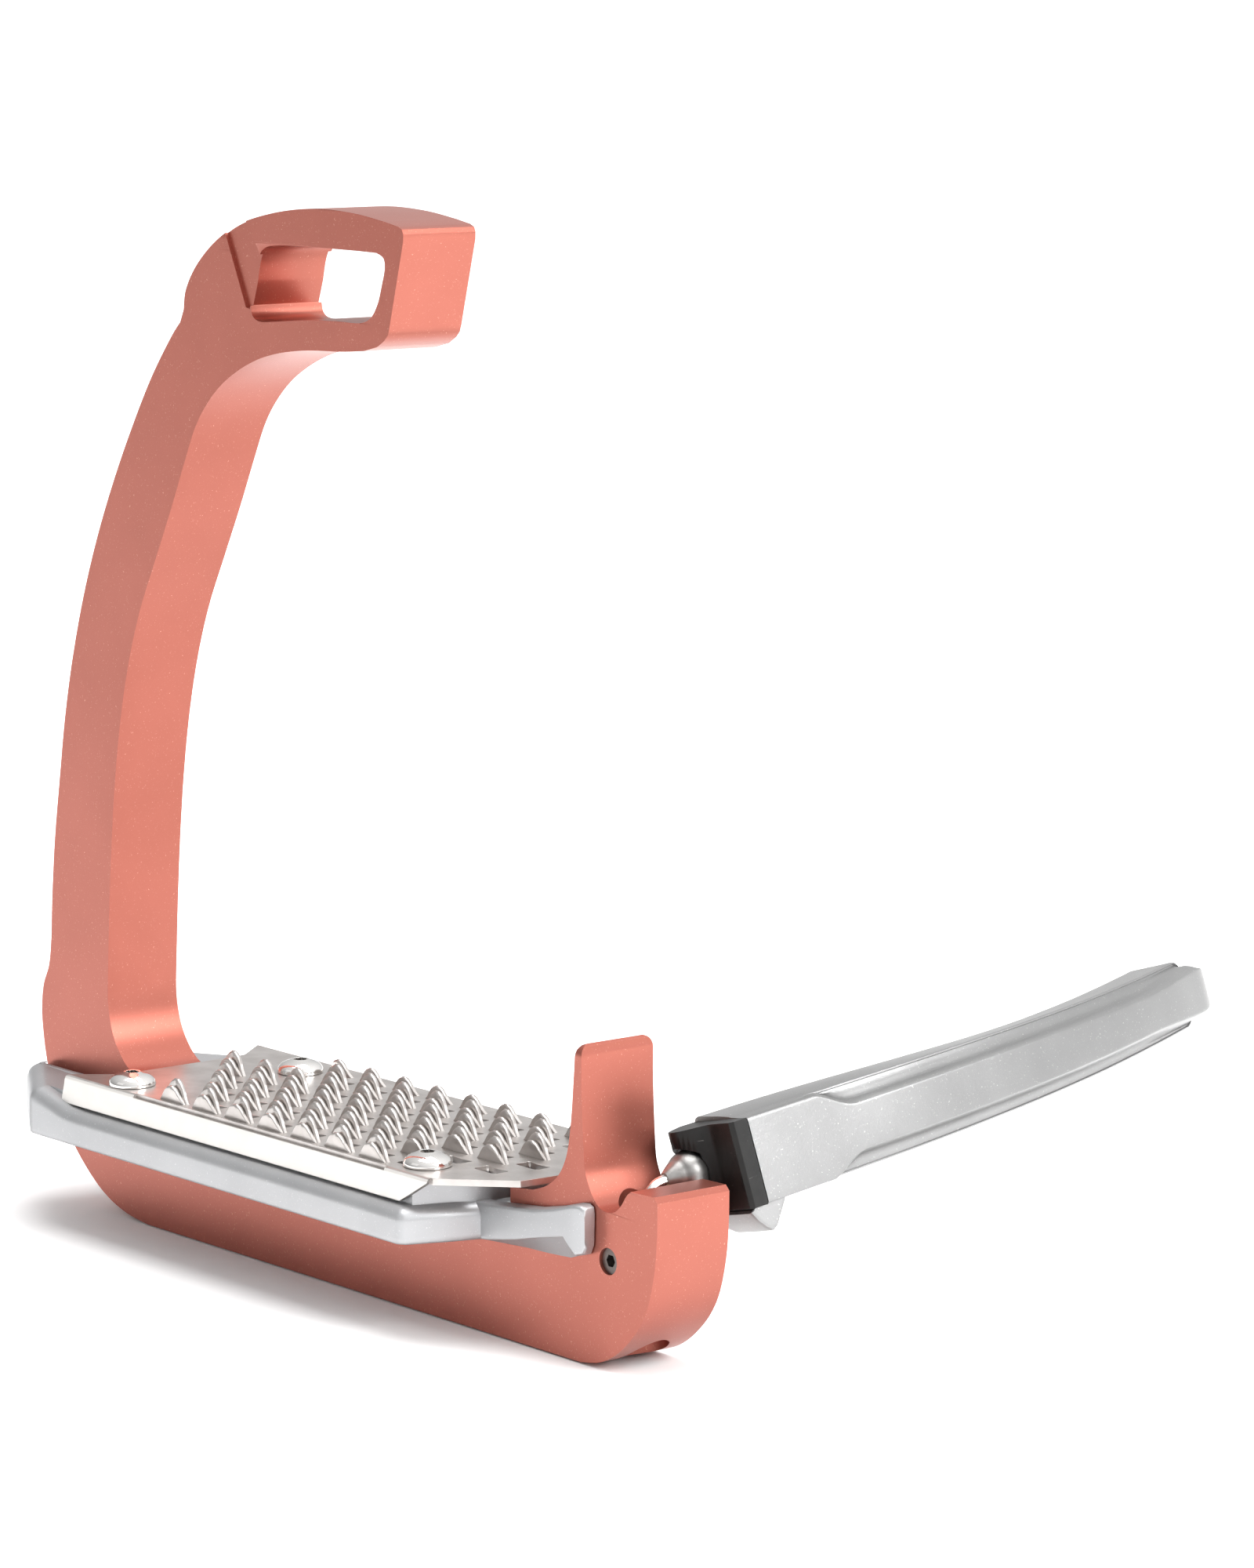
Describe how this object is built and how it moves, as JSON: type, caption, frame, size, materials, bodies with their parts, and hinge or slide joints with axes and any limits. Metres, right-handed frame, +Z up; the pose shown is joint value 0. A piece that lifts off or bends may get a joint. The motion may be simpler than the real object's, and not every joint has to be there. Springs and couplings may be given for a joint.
{
  "type": "stirrup iron",
  "caption": "Safety stirrup iron: one-piece side branch with leather slot, toothed foot tread, and a tethered release arm that tips out of its seat.",
  "frame": {"origin": "centre of the flat underside of the base", "axes": "+Z up to the leather slot, +X towards the release arm's side, -Y the near face with the set screw"},
  "size_m": [0.1611, 0.1518, 0.1649],
  "materials": {
    "rose_coat": "satin metallic coat",
    "silver_anodised": "fine blasted, satin",
    "plain_steel": "satin",
    "tumbled_stainless": "tumbled",
    "polished_steel": "polished",
    "guide_brass": "machined",
    "dark_steel": "blackened",
    "wire_rope": "stranded wire",
    "worn_steel": "worn, satin",
    "black_plastic": "moulded, slightly scuffed"
  },
  "bodies": {
    "frame": {"frame": "rose_coat", "tread_body": "silver_anodised", "tread_screws": "plain_steel", "grip_plate": "tumbled_stainless", "grip_screws": "polished_steel", "cable_guide": "guide_brass", "set_screw": "dark_steel", "return_spring": "plain_steel"},
    "tether": {"tether_ball": "worn_steel", "tether_cable": "wire_rope"},
    "arm": {"release_arm": "silver_anodised", "arm_cap": "black_plastic", "cap_screw": "plain_steel", "cable_anchor": "plain_steel"},
    "stop": {"cable_stop": "plain_steel", "spring_washer": "plain_steel"}
  },
  "joints": [
    {"name": "arm_release", "type": "hinge", "parent": "frame", "child": "tether", "pos_m": [0.0684, 0.00513, 0.02176], "axis": [1, 0, 0], "range_deg": [0, 86.5], "deforming": ["tether_cable"]},
    {"name": "arm_swivel", "type": "hinge", "parent": "tether", "child": "arm", "pos_m": [0.0684, 0.00855, 0.0271], "axis": [-0.2689, 0.8057, 0.5278], "range_deg": [0, 16.8]},
    {"name": "cable_slide", "type": "slide", "parent": "frame", "child": "stop", "axis": [0, 0, -1], "range_m": [0, 0.0065], "deforming": ["return_spring"]}
  ],
  "couplings": [
    {"joint": "arm_swivel", "follows": "arm_release", "ratio": 0.194},
    {"joint": "cable_slide", "follows": "arm_release", "m_per_rad": 0.0043}
  ]
}
